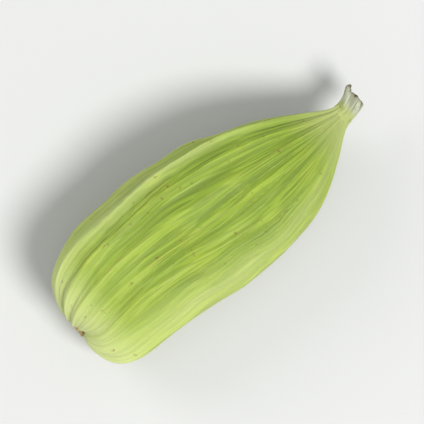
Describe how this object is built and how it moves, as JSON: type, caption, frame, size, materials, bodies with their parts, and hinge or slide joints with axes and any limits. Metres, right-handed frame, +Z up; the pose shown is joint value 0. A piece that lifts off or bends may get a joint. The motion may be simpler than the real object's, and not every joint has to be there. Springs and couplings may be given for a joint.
{
  "type": "green cardamom pod",
  "caption": "Dried green cardamom pod: bluntly three-angled ribbed capsule, rounded at the stalk end and pointed at the other with a short hollow flower stump, lying on a small flat spot.",
  "frame": {"origin": "on the surface that the pod rests on, under the middle of its bounding box", "axes": "+X along the pod from the rounded stalk end to the pointed flower end, +Z up from the surface it rests on, +Y to the left seen from the stalk end"},
  "size_m": [0.0166, 0.007, 0.0059],
  "materials": {
    "husk": "dry satin skin, yellowish green, paler on the ribs and at both ends"
  },
  "bodies": {
    "root": {"cardamom_pod": "husk"}
  },
  "joints": []
}
